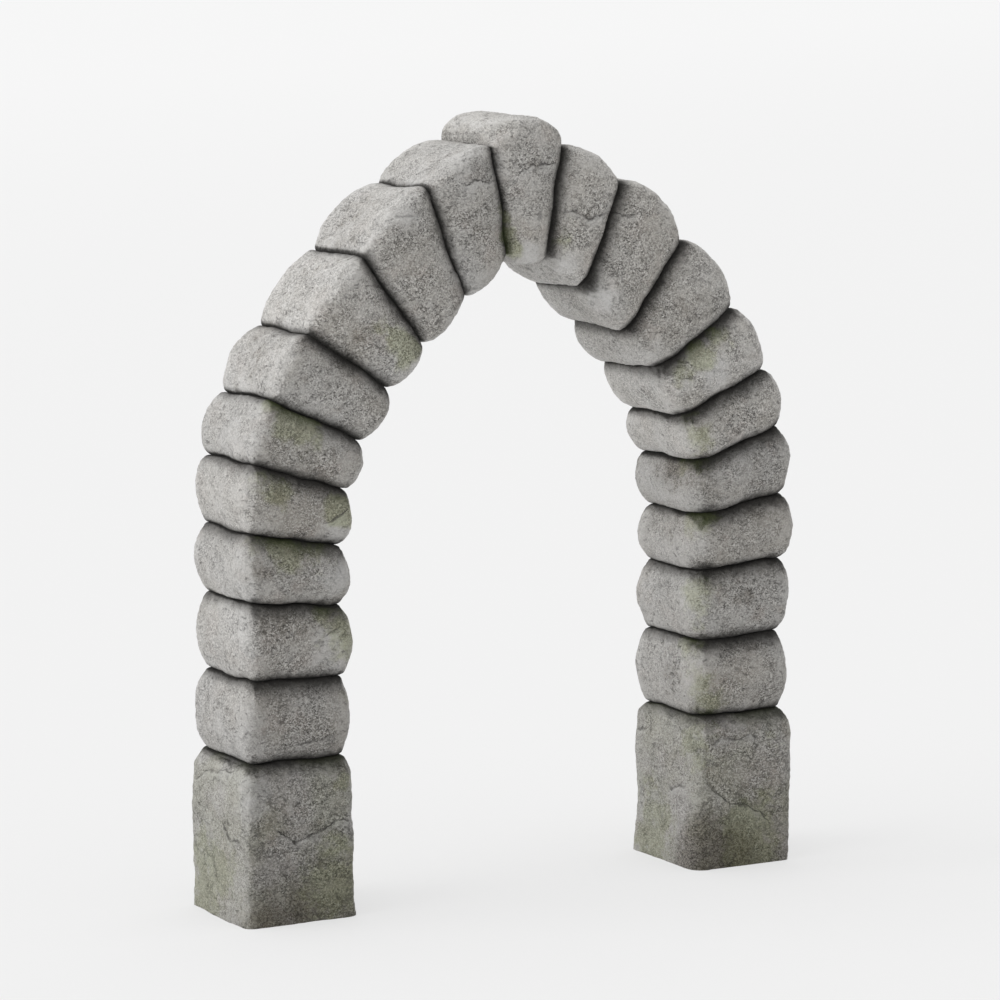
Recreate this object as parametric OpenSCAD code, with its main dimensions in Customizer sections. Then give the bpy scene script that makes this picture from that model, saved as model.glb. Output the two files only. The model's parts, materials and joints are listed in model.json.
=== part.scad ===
// Free-standing medieval arch of twenty-one dry-laid stones.
//
// Each side is a chain of stones on one centre line: a plumb pier, a tight
// haunch arc and a flatter crown arc, as in a four-centred arch. Every stone is
// lofted from its lower bed to its upper bed and bellies out between them, so
// neighbours meet face to face on flat beds at the bottom of a pinched joint.
// The keystone fills the gap that the two sides leave.
//
// X runs along the span, Y from the front to the back, Z up. The origin is on
// the ground, midway between the piers.

/* [Centre line] */
// Distance from the middle of the arch to the centre line of a pier
pier_x = 990; // [900:10:1100]
// Height of the springing, where the pier's centre line starts to lean in
springing_h = 1560; // [1500:10:1650]
// Radius of the centre line round the haunch
haunch_r = 750; // [650:10:850]
// Turn of the centre line round the haunch, in degrees
haunch_turn = 29; // [24:1:34]
// Radius of the centre line from the haunch to the crown
crown_r = 2020; // [1900:10:2200]

/* [Courses] */
// Length of each stone along the centre line, from the base block up
course_len = [620, 310, 285, 244, 241, 223, 259, 291, 309, 271]; // each [220:1:640]
// Tilt of each bed from level, from the ground to the keystone
bed_tilt = [0, 0, 1, 5, 10, 17, 25, 33, 53.5, 69, 81.5]; // each [0:0.5:84]
// Width of each bed across the arch, from the ground to the keystone
bed_w = [380, 370, 360, 365, 362, 385, 390, 398, 408, 422, 412]; // each [340:1:480]
// How far each bed sits out from the centre line, away from the opening
bed_shift = [-8, 0, -6, 0, 6, 0, 0, 0, -4, 0, -6]; // each [-20:1:20]

/* [Stones] */
// Depth of every bed from front to back
bed_d = 392; // [360:5:440]
// How far a stone bellies out in front and behind, beyond its beds
belly = 54; // [25:1:60]
// How far each left stone bellies out away from the opening, from the base block up
left_out = [57, 60, 53, 50, 41, 41, 50, 39, 54, 45]; // each [25:1:65]
// How far each left stone bellies into the opening
left_in = [32, 34, 50, 46, 56, 60, 53, 48, 49, 46]; // each [25:1:65]
// How far each right stone bellies out away from the opening
right_out = [43, 41, 50, 60, 45, 42, 49, 66, 66, 44]; // each [25:1:70]
// How far each right stone bellies into the opening
right_in = [32, 47, 46, 55, 60, 54, 40, 43, 37, 34]; // each [25:1:65]
// Radius of a stone's long arrises at the lowest bed
pier_corner_r = 24; // [10:1:60]
// Radius of the same arrises beside the keystone
crown_corner_r = 10; // [5:1:40]
// Radius of the same arrises at the belly
belly_corner_r = 58; // [40:1:90]
// Radius of a base block's upright arrises
base_corner_r = 38; // [20:1:60]
// Height of the rounded shoulder on top of a base block
shoulder_h = 75; // [60:5:140]

/* [Keystone] */
// How far the keystone stands proud of its neighbours on top
key_rise = 115; // [60:5:130]
// How far it hangs below its beds
key_drop = 37; // [10:1:50]
// How far it sits to the right of the middle
key_shift = 9; // [-20:1:20]

/* [Hidden] */
// Points round a quarter of each rounded outline
corner_steps = 5;
// Outlines lofted from bed to bed
loft_steps = 10;
// Shape of the belly between beds: 1 is an ellipse, more is a softer bulge
belly_power = 1.3;
// The keystone's head keeps its full height nearly to its beds
key_power = 0.7;

LEFT = 1;
RIGHT = -1;
stone_grey = [0.58, 0.575, 0.56];
mossy_grey = [0.52, 0.53, 0.47];

joints = len(course_len);
haunch_len = haunch_r * haunch_turn * PI / 180;
haunch_end = [haunch_r * (1 - cos(haunch_turn)), springing_h + haunch_r * sin(haunch_turn)];

// Length along one side's centre line from the ground to a joint
function joint_at(side, n) = n == 0 ? 0
    : joint_at(side, n - 1) + course_len[n - 1] + (n == joints ? side * key_shift : 0);

// Place on the left side's centre line, as [x, z], for a length from the ground
function on_pier(s) = [0, s];
function on_haunch(a) = [haunch_r * (1 - cos(a)), springing_h + haunch_r * sin(a)];
function on_crown(a) = haunch_end
    + crown_r * [cos(haunch_turn) - cos(a), sin(a) - sin(haunch_turn)];
function centre_line(s) = [-pier_x, 0] + (
    s <= springing_h ? on_pier(s)
    : s <= springing_h + haunch_len ? on_haunch((s - springing_h) / haunch_r * 180 / PI)
    : on_crown(haunch_turn + (s - springing_h - haunch_len) / crown_r * 180 / PI));

function mix(a, b, t) = a + (b - a) * t;

// Radius of the long arrises at a place counted in courses, where the base block's is below 1
function corner_r(n, swell) =
    mix(mix(pier_corner_r, crown_corner_r, n / joints), n < 1 ? base_corner_r : belly_corner_r, swell);

// Rounded outline of a stone as [out, across] points, where out points away
// from the opening. It reaches w_in towards the opening and w_out away from it,
// measured from a place that is shifted out.
function outline(w_in, w_out, half_d, r, shift = 0) = [
    for (q = [0:3], k = [0:corner_steps])
        let (a = 90 * q + 90 * k / corner_steps)
        [shift + (q == 0 || q == 3 ? w_out - r : r - w_in) + r * cos(a),
         (q < 2 ? half_d - r : r - half_d) + r * sin(a)]
];

// The outline stood up at a place on the centre line, square to a bed's tilt
function stand(points, place, tilt) = [
    for (p = points) [place.x - p.x * cos(tilt), p.y, place.y + p.x * sin(tilt)]
];

// One outline of a course, at a share t of the way from its lower to its upper bed
function course_outline(side, n, t, swell) =
    let (half_w = mix(bed_w[n], bed_w[n + 1], t) / 2,
         shift = mix(bed_shift[n], bed_shift[n + 1], t),
         belly_in = side == LEFT ? left_in[n] : right_in[n],
         belly_out = side == LEFT ? left_out[n] : right_out[n])
    stand(outline(half_w + belly_in * swell, half_w + belly_out * swell,
                  bed_d / 2 + belly * swell, corner_r(n + t, swell), shift),
          centre_line(mix(joint_at(side, n), joint_at(side, n + 1), t)),
          mix(bed_tilt[n], bed_tilt[n + 1], t));

// One outline of the keystone, at a share t of the way across it
function key_outline(t, swell, head) =
    let (half_w = bed_w[joints] / 2, shift = bed_shift[joints],
         from = centre_line(joint_at(LEFT, joints)),
         to = centre_line(joint_at(RIGHT, joints)))
    stand(outline(half_w + key_drop * swell, half_w + key_rise * head,
                  bed_d / 2 + belly * swell, corner_r(joints, swell), shift),
          [mix(from.x, -to.x, t), mix(from.y, to.y, t)],
          mix(bed_tilt[joints], 180 - bed_tilt[joints], t));

// Solid through a row of outlines that all have the same number of points
module loft(rows) {
    n = len(rows[0]);
    last = len(rows) - 1;
    polyhedron(
        points = [for (row = rows) each row],
        faces = concat(
            [[for (k = [0:n - 1]) k]],
            [for (j = [0:last - 1], k = [0:n - 1])
                [j * n + k, (j + 1) * n + k, (j + 1) * n + (k + 1) % n, j * n + (k + 1) % n]],
            [[for (k = [n - 1:-1:0]) last * n + k]]),
        convexity = 2);
}

// Everything is placed on the left and mirrored to the right
module on_side(side) {
    if (side == LEFT) children();
    else mirror([1, 0, 0]) children();
}

// Tall block that carries a pier, straight-sided up to a rounded shoulder
module base_block(side) {
    shoulder = shoulder_h / course_len[0];
    color(mossy_grey) on_side(side) loft(concat(
        [course_outline(side, 0, 0, 1)],
        [for (k = [0:loft_steps])
            let (a = 90 * k / loft_steps)
            course_outline(side, 0, 1 - shoulder * (1 - sin(a)), cos(a))]));
}

// Pillow-shaped stone between two beds, counted from 1 above the base block
module course(side, n) {
    color(stone_grey) on_side(side) loft(
        [for (k = [0:loft_steps])
            let (a = 180 * k / loft_steps)
            course_outline(side, n, (1 - cos(a)) / 2, pow(sin(a), belly_power))]);
}

// Wedge that closes the arch, with its head standing proud
module keystone() {
    color(stone_grey) loft(
        [for (k = [0:loft_steps])
            let (a = 180 * k / loft_steps)
            key_outline((1 - cos(a)) / 2, pow(sin(a), belly_power), pow(sin(a), key_power))]);
}

base_block(LEFT);  // left_base_block
course(LEFT, 1);  // left_pier_1
course(LEFT, 2);  // left_pier_2
course(LEFT, 3);  // left_pier_3
course(LEFT, 4);  // left_springer
course(LEFT, 5);  // left_voussoir_1
course(LEFT, 6);  // left_voussoir_2
course(LEFT, 7);  // left_voussoir_3
course(LEFT, 8);  // left_voussoir_4
course(LEFT, 9);  // left_voussoir_5
keystone();
course(RIGHT, 9);  // right_voussoir_5
course(RIGHT, 8);  // right_voussoir_4
course(RIGHT, 7);  // right_voussoir_3
course(RIGHT, 6);  // right_voussoir_2
course(RIGHT, 5);  // right_voussoir_1
course(RIGHT, 4);  // right_springer
course(RIGHT, 3);  // right_pier_3
course(RIGHT, 2);  // right_pier_2
course(RIGHT, 1);  // right_pier_1
base_block(RIGHT);  // right_base_block
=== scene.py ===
"""Looks of a free-standing medieval arch of dry-laid stones, dressed stone by stone."""
import json
import math
import random

import bpy
import numpy as np
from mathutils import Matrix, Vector, noise


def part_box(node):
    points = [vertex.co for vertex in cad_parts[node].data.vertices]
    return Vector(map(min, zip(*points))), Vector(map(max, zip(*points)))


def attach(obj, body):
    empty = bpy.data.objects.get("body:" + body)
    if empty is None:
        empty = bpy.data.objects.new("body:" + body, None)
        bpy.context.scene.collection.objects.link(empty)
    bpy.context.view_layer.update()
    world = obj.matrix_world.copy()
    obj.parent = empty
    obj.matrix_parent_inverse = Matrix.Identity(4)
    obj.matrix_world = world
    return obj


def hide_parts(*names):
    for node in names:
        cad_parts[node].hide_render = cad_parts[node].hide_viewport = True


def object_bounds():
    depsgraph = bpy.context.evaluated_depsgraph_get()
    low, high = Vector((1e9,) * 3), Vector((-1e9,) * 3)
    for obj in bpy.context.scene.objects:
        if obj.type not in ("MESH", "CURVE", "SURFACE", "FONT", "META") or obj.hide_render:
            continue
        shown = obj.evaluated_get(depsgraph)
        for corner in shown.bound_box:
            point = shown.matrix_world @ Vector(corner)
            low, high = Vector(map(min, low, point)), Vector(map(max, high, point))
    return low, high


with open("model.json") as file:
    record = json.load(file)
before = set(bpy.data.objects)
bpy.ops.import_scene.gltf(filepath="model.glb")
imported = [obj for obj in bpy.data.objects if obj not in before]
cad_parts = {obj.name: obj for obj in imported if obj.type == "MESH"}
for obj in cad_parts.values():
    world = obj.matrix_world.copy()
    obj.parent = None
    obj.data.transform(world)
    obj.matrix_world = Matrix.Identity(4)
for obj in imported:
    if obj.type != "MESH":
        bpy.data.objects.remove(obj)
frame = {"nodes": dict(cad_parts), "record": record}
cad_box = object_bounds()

# ------------------------ the view and its light

VIEW_AZIMUTH = -29.6      # degrees, 0 looks along +Y
VIEW_ELEVATION = 8.1      # degrees above level
VIEW_DISTANCE = 17.4      # metres from the target
VIEW_LENS = 160.5         # millimetres
VIEW_SENSOR = 36          # millimetres wide
VIEW_REACH = 1000         # metres that the camera sees
VIEW_TARGET_X = 0.005     # metres to the right of the middle
VIEW_TARGET_SHARE = 0.503  # share of the arch's height

LAMPS = [
    # name, azimuth and elevation in degrees, level on a surface that faces it, spread in degrees
    ("overhead_softbox", 165, 70, 0.54, 120),
    ("side_window", -98, 20, 0.58, 60),
]
LAMP_DISTANCE = 8         # metres, though a sun lights alike from anywhere
SKY_LEVEL = 0.50          # light from all round

FLOOR_SIZE = 600          # metres
FLOOR_PAPER = 0.80        # grey of the studio paper
FLOOR_NEAR = 0.852        # grey that it shows in front of the arch
FLOOR_MID = 0.854         # a few metres behind it
FLOOR_FAR = 0.905         # and far behind it
FLOOR_STEPS = (-3.0, 8.0, 45.0)  # metres behind the arch at which it shows those greys
FLOOR_GLOW = 0.68         # share of what the camera sees of the paper that no shadow reaches


def aim(thing, towards):
    """Turn a camera or lamp so that it looks along a direction."""
    thing.rotation_euler = Vector(towards).to_track_quat("-Z", "Y").to_euler()


def direction(azimuth, elevation):
    """From the object towards a viewer or lamp, by its azimuth and elevation in degrees."""
    a, e = math.radians(azimuth), math.radians(elevation)
    return Vector((math.sin(a) * math.cos(e), -math.cos(a) * math.cos(e), math.sin(e)))


def place_camera():
    height = cad_box[1][2]
    back = direction(VIEW_AZIMUTH, VIEW_ELEVATION)
    target = Vector((VIEW_TARGET_X, 0, VIEW_TARGET_SHARE * height))
    bpy.ops.object.camera_add(location=target + back * VIEW_DISTANCE)
    camera = bpy.context.object
    camera.data.lens = VIEW_LENS
    camera.data.sensor_width = VIEW_SENSOR
    camera.data.clip_end = VIEW_REACH
    aim(camera, -back)
    bpy.context.scene.camera = camera


def soft_sun(name, azimuth, elevation, level, spread):
    """A broad lamp far away. A level of 1 lights a white surface that faces it to white."""
    bpy.ops.object.light_add(type="SUN", location=direction(azimuth, elevation) * LAMP_DISTANCE)
    lamp = bpy.context.object
    lamp.name = name
    lamp.data.energy = level * math.pi
    lamp.data.angle = math.radians(spread)
    aim(lamp, -direction(azimuth, elevation))


def light_studio():
    scene = bpy.context.scene
    scene.view_settings.view_transform = "Standard"
    scene.world = bpy.data.worlds.new("studio")
    scene.world.use_nodes = True
    sky = scene.world.node_tree.nodes["Background"]
    sky.inputs["Color"].default_value = (1, 1, 1, 1)
    sky.inputs["Strength"].default_value = SKY_LEVEL
    for lamp in LAMPS:
        soft_sun(*lamp)


def lay_floor():
    """A wide sheet of studio paper, a little brighter far behind the arch."""
    bpy.ops.mesh.primitive_plane_add(size=FLOOR_SIZE, location=(0, 0, 0))
    floor = bpy.context.object
    floor.name = "floor"
    paper = Finish("floor_paper")
    turn = paper.add("ShaderNodeMapping", vector_type="POINT")
    paper.feed(turn.inputs["Vector"], paper.place)
    paper.feed(turn.inputs["Rotation"], (0, 0, math.radians(VIEW_AZIMUTH)))
    apart = paper.add("ShaderNodeSeparateXYZ")
    paper.feed(apart.inputs["Vector"], turn.outputs["Vector"])
    away = apart.outputs["Y"]
    front, behind, far_off = FLOOR_STEPS
    near = paper.between(away, front, behind)
    far = paper.between(away, behind, far_off)
    colour = paper.blend(far, paper.blend(near, grey(FLOOR_NEAR), grey(FLOOR_MID)), grey(FLOOR_FAR))
    paper.feed(paper.shader.inputs["Base Color"], grey(FLOOR_PAPER))
    paper.feed(paper.shader.inputs["Roughness"], 1.0)
    paper.feed(paper.shader.inputs["Specular IOR Level"], 0.0)
    glow = paper.add("ShaderNodeEmission")
    paper.feed(glow.inputs["Color"], colour)
    seen = paper.add("ShaderNodeLightPath").outputs["Is Camera Ray"]
    both = paper.add("ShaderNodeMixShader")
    paper.feed(both.inputs["Fac"], paper.maths("MULTIPLY", seen, FLOOR_GLOW))
    paper.feed(both.inputs[1], paper.shader.outputs["BSDF"])
    paper.feed(both.inputs[2], glow.outputs["Emission"])
    paper.feed(paper.tree.nodes["Material Output"].inputs["Surface"], both.outputs["Shader"])
    floor.data.materials.append(paper.material)


# ------------------------ where each stone lies

PASSAGE = np.array([0.0, 0.0, 1.2])  # a point in the open passage, in metres
BACK = np.array([0.0, 1.0, 0.0])
FLAT = 0.9999                   # triangles this parallel lie in one flat face
OVERHANG_COST = 3               # how much further each metre past a bed's overhang counts


def unit(v):
    return v / np.linalg.norm(v)


def read(collection, what, width):
    """One property of every vertex or face, as an array with that many columns."""
    values = np.empty(len(collection) * width, np.float32)
    collection.foreach_get(what, values)
    return values.reshape(-1, width).astype(float)


class Stone:
    """A CAD stone's two beds, and its own directions: up from bed to bed, out of the arch, back."""

    def __init__(self, name):
        self.name = name
        self.low, self.high = (np.array(corner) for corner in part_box(name))
        self.is_base = name.endswith("base_block")
        self.beds = find_beds(frame["nodes"][name].data)
        lower, upper = self.beds
        self.middle = (lower.place + upper.place) / 2
        self.up = unit(upper.face - lower.face)
        self.out = np.cross(self.up, BACK)
        if self.out @ (self.middle - PASSAGE) < 0:
            self.out = -self.out

    def facing(self, around, tilt):
        """A direction from the stone: around 0 is out, 90 back, 180 in, -90 front; tilt is up."""
        a, t = math.radians(around), math.radians(tilt)
        level = math.cos(a) * self.out + math.sin(a) * BACK
        return math.cos(t) * level + math.sin(t) * self.up


class Bed:
    """One flat bed of a CAD stone: its middle, its outward direction and how far it reaches."""

    def __init__(self, mesh, triangles):
        corners = np.array([mesh.vertices[i].co for t in triangles for i in mesh.polygons[t].vertices])
        self.place = (corners.min(axis=0) + corners.max(axis=0)) / 2
        self.face = unit(sum(np.array(mesh.polygons[t].normal) for t in triangles))
        self.across = unit(np.cross(self.face, BACK))
        away = corners - self.place
        self.reach = np.abs(away @ self.across).max(), np.abs(away @ BACK).max()

    def depth(self, places):
        """How far each place is inside the stone from the bed's plane."""
        return -(places - self.place) @ self.face

    def distance(self, places, overhang):
        """How far each place is from the bed itself, and more where it overhangs the bed."""
        away = places - self.place
        beyond = [np.clip(np.abs(away @ side) - reach, 0, None)
                  for side, reach in zip((self.across, BACK), self.reach)]
        beyond[0] += OVERHANG_COST * np.clip(beyond[0] - overhang, 0, None)
        return np.sqrt((away @ self.face) ** 2 + beyond[0] ** 2 + beyond[1] ** 2)


def find_beds(mesh):
    """The two beds of a CAD stone, lower one first: its largest flat, and the largest opposite."""
    faces = read(mesh.polygons, "normal", 3)
    alike = faces @ faces.T > FLAT
    # a bed is large and, unlike the flat side of a base block, fans out into many triangles
    extent = alike @ read(mesh.polygons, "area", 1)[:, 0] * alike.sum(axis=1)
    first = alike[np.argmax(extent)]
    opposite = faces @ faces[first].mean(axis=0) < 0
    second = alike[np.argmax(np.where(opposite, extent, 0))]
    beds = [Bed(mesh, [int(t) for t in np.flatnonzero(flat)]) for flat in (first, second)]
    return sorted(beds, key=lambda bed: (round(bed.place[2], 1), bed.place[0]))


# ------------------------ modelling a stone

WELD = 0.0002             # metres within which the CAD stone's corners are one
AT_GROUND = 0.001         # metres up to which a face lies on the ground
FOOT_SPARE = 0.04         # metres that a base block runs on below ground before it is cut level
GRAIN_SIZE = 0.0075       # metres between the points of a finished stone
BED_MARGIN = 0.012        # metres inside a bed over which the weathering comes in
WEIGHT_STEPS = 16         # levels that a vertex group's weights are rounded to

# facets of a pillow-shaped stone: swing either way and tilt in degrees, depth in metres
ARRIS_FACET = 14, (8, 34), (0.001, 0.007)
SIDE_FACET = 16, (30, 48), (0.000, 0.004)
KEYSTONE_LIP = -50, -38, 0.022  # direction and tilt in degrees, depth in metres
# the inner front arris of the right side: directions in degrees, depths in metres
WORN_ARRIS = (-135, 0.014), (-157, 0.007), (-113, 0.007)
WORN_ARRIS_TILTS = 0, -24, 24, -44, 44
WORN_ARRIS_CHANCE = 4, 5, (0.8, 1.2)  # degrees either way round and up, and share of the depth
WORN_BASE_ARRIS = (-135, 0.009), (-157, 0.004), (-113, 0.004)


def select_only(thing):
    bpy.ops.object.select_all(action="DESELECT")
    thing.select_set(True)
    bpy.context.view_layer.objects.active = thing


def rough_block(stone):
    """A merged copy of the CAD stone to work on."""
    mesh = frame["nodes"][stone.name].data.copy()
    block = bpy.data.objects.new(stone.name + "_dressed", mesh)
    bpy.context.scene.collection.objects.link(block)
    select_only(block)
    bpy.ops.object.mode_set(mode="EDIT")
    bpy.ops.mesh.select_all(action="SELECT")
    bpy.ops.mesh.remove_doubles(threshold=WELD)
    bpy.ops.mesh.select_all(action="DESELECT")
    bpy.ops.object.mode_set(mode="OBJECT")
    return block


def lengthen_foot(block):
    """Run a base block on below the ground, so that its foot can be cut sharp and level later."""
    bpy.ops.object.mode_set(mode="EDIT")
    bpy.ops.mesh.select_mode(type="FACE")
    bpy.ops.mesh.select_all(action="DESELECT")
    bpy.ops.object.mode_set(mode="OBJECT")
    for face in block.data.polygons:
        face.select = face.center.z < AT_GROUND
    bpy.ops.object.mode_set(mode="EDIT")
    bpy.ops.mesh.extrude_region_move(TRANSFORM_OT_translate={"value": (0, 0, -FOOT_SPARE)})
    bpy.ops.object.mode_set(mode="OBJECT")


def chisel(block, facing, depth):
    """Strike one flat facet, depth metres into the stone from its furthest point that way."""
    facing = Vector(facing)
    furthest = max(facing.dot(v.co) for v in block.data.vertices)
    bpy.ops.object.mode_set(mode="EDIT")
    bpy.ops.mesh.select_all(action="SELECT")
    bpy.ops.mesh.bisect(plane_co=facing * (furthest - depth), plane_no=facing,
                        use_fill=True, clear_outer=True)
    bpy.ops.object.mode_set(mode="OBJECT")


def chisel_pillow(block, stone, chance):
    """Facets along the four arrises and across the four bulging sides, above and below the middle."""
    for quarter in range(4):
        for half in (-1, 1):
            for middle, (swing, tilt, depth) in ((45, ARRIS_FACET), (0, SIDE_FACET)):
                around = middle + 90 * quarter + chance.uniform(-swing, swing)
                chisel(block, stone.facing(around, half * chance.uniform(*tilt)), chance.uniform(*depth))
    if stone.name == "keystone":
        # the front of its head is broken away on the left
        around, tilt, depth = KEYSTONE_LIP
        chisel(block, stone.facing(around, tilt), depth)
    if stone.name.startswith("right"):
        # the inner front arris of this side is worn rounder, up to the beds
        swing, nod, share = WORN_ARRIS_CHANCE
        for tilt in WORN_ARRIS_TILTS:
            for around, depth in WORN_ARRIS:
                way = around + chance.uniform(-swing, swing), tilt + chance.uniform(-nod, nod)
                chisel(block, stone.facing(*way), depth * chance.uniform(*share))


def chisel_base(block, stone, chance):
    """Facets down the four arrises and round the shoulder of a base block."""
    for quarter in range(4):
        # down an arris, and the corner of the shoulder above it
        around = 45 + 90 * quarter + chance.uniform(-10, 10)
        chisel(block, stone.facing(around, chance.uniform(1, 4)), chance.uniform(0.003, 0.009))
        chisel(block, stone.facing(around, 40 + chance.uniform(-8, 8)), chance.uniform(0.006, 0.015))
        # the shoulder above a side
        around = 90 * quarter + chance.uniform(-8, 8)
        chisel(block, stone.facing(around, 44 + chance.uniform(-8, 8)), chance.uniform(0.001, 0.006))
    if stone.name.startswith("right"):
        for around, depth in WORN_BASE_ARRIS:
            chisel(block, stone.facing(around, 0), depth)


def finish_with(block, kind, **settings):
    """Add a modifier, set it and apply it."""
    select_only(block)
    modifier = block.modifiers.new(kind.lower(), kind)
    for key, value in settings.items():
        setattr(modifier, key, value)
    bpy.ops.object.modifier_apply(modifier=modifier.name)


def relief(name, kind, size, **settings):
    """A texture that the Displace modifier reads, with features about size metres across."""
    texture = bpy.data.textures.new(name, type=kind)
    texture.noise_scale = size
    for key, value in settings.items():
        setattr(texture, key, value)
    return texture


def weigh(block, name, weights):
    """A vertex group with one weight for each vertex."""
    group = block.vertex_groups.new(name=name)
    steps = np.round(weights * WEIGHT_STEPS).astype(int)
    for step in range(1, WEIGHT_STEPS + 1):
        group.add([int(i) for i in np.flatnonzero(steps == step)], step / WEIGHT_STEPS, "REPLACE")
    return group.name


def guard_beds(block, stone):
    """A vertex group that keeps the beds flat, and for a base block not the foot."""
    places = read(block.data.vertices, "co", 3)
    lower, upper = stone.beds
    depth = upper.depth(places)
    if not stone.is_base:
        depth = np.minimum(depth, lower.depth(places))
    return weigh(block, "weathered", np.clip(depth / BED_MARGIN, 0, 1))


def cut_foot(block):
    """Cut a base block level at the ground."""
    select_only(block)
    bpy.ops.object.mode_set(mode="EDIT")
    bpy.ops.mesh.select_all(action="SELECT")
    bpy.ops.mesh.bisect(plane_co=(0, 0, 0), plane_no=(0, 0, -1), use_fill=True, clear_outer=True)
    bpy.ops.object.mode_set(mode="OBJECT")


RELIEFS = [
    # texture, depth in metres, level that stays in place
    (relief("swell", "CLOUDS", 0.26, noise_depth=1), 0.020, 0.36),
    (relief("hollows", "CLOUDS", 0.085, noise_depth=2), 0.009, 0.45),
    (relief("knocks", "CLOUDS", 0.030, noise_depth=2, noise_type="HARD_NOISE"), 0.005, 0.5),
]

LEDGE = 0.004             # metres that the skin above a crack is sunk
BASE_LEDGE = 0.009        # the same on a base block
LEDGE_EDGE = 0.008        # metres over which the skin breaks off at a ledge
LEDGE_REACH = 0.10        # metres above a crack at which the skin is back in place

# an unevenness that every stone shares, so that neighbours still meet along a wavy joint
WAVES = relief("waves", "CLOUDS", 0.15, noise_depth=1)
WAVE_HEIGHT = 0.024
SPRINGING = 1.56          # metres up, where the piers begin to lean in
BASE_STRAIGHT = 0.32      # metres up to which a base block keeps its straight sides
BASE_FADE = 0.26          # metres above that over which the waves come in
CROWN_FADE = 0.10         # metres from the middle over which one side's waves turn into the other's


def wave_joints(block):
    """Push every part of the arch a little along its line, so that the straight joints wave."""
    places = read(block.data.vertices, "co", 3)
    lean = np.arctan2(np.clip(places[:, 2] - SPRINGING, 0, None), np.abs(places[:, 0]))
    above_base = np.clip((places[:, 2] - BASE_STRAIGHT) / BASE_FADE, 0, 1)
    inward = np.sin(lean) * np.clip(places[:, 0] / CROWN_FADE, -1, 1)
    pushes = [("up", "Z", WAVE_HEIGHT, np.cos(lean) * above_base),
              ("from_left", "X", WAVE_HEIGHT, np.clip(-inward, 0, 1)),
              ("from_right", "X", -WAVE_HEIGHT, np.clip(inward, 0, 1))]
    for name, axis, height, weights in pushes:
        finish_with(block, "DISPLACE", texture=WAVES, strength=height, mid_level=0.5, direction=axis,
                    texture_coords="LOCAL", vertex_group=weigh(block, name, weights))


def split_ledges(block, stone):
    """Sink the stone's skin just above each crack, so that it breaks off at a ledge."""
    places = read(block.data.vertices, "co", 3)
    facing = read(block.data.vertices, "normal", 3)
    sunk = np.zeros(len(places))
    for face, strong, path in CRACKS.get(stone.name, []):
        above, inside = crack_measures(stone, places, facing, face, strong, path)
        step = np.clip(above / LEDGE_EDGE + 0.5, 0, 1) * np.clip(1 - above / LEDGE_REACH, 0, 1)
        sunk = np.maximum(sunk, step * np.clip(inside / CRACK_END, 0, 1))
    depth = BASE_LEDGE if stone.is_base else LEDGE
    finish_with(block, "DISPLACE", strength=-depth, mid_level=0.0,
                vertex_group=weigh(block, "ledges", sunk))


def wear_hollows(block, stone):
    """Sink the stone's skin where it is worn hollow."""
    places = read(block.data.vertices, "co", 3)
    for shares, radius, depth in HOLLOWS.get(stone.name, []):
        centre = stone.low + np.array(shares) * (stone.high - stone.low)
        near = np.clip(1 - np.linalg.norm(places - centre, axis=1) / radius, 0, 1)
        finish_with(block, "DISPLACE", strength=-depth, mid_level=0.0,
                    vertex_group=weigh(block, "hollow", near * near * (3 - 2 * near)))


def dress(name):
    """Model one weathered stone from its CAD node."""
    stone = Stone(name)
    chance = random.Random(name)
    block = rough_block(stone)
    if stone.is_base:
        chisel_base(block, stone, chance)
        lengthen_foot(block)
    else:
        chisel_pillow(block, stone, chance)
    finish_with(block, "REMESH", mode="VOXEL", voxel_size=GRAIN_SIZE, use_smooth_shade=True)
    group = guard_beds(block, stone)
    finish_with(block, "SMOOTH", factor=0.5, iterations=8, vertex_group=group)
    for texture, depth, level in RELIEFS:
        finish_with(block, "DISPLACE", texture=texture, strength=depth, mid_level=level,
                    texture_coords="LOCAL", vertex_group=group)
    split_ledges(block, stone)
    wear_hollows(block, stone)
    if stone.is_base:
        cut_foot(block)
    measure(block, stone)
    wave_joints(block)
    block.vertex_groups.clear()
    return block


# ------------------------ what the finish reads from a stone

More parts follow.
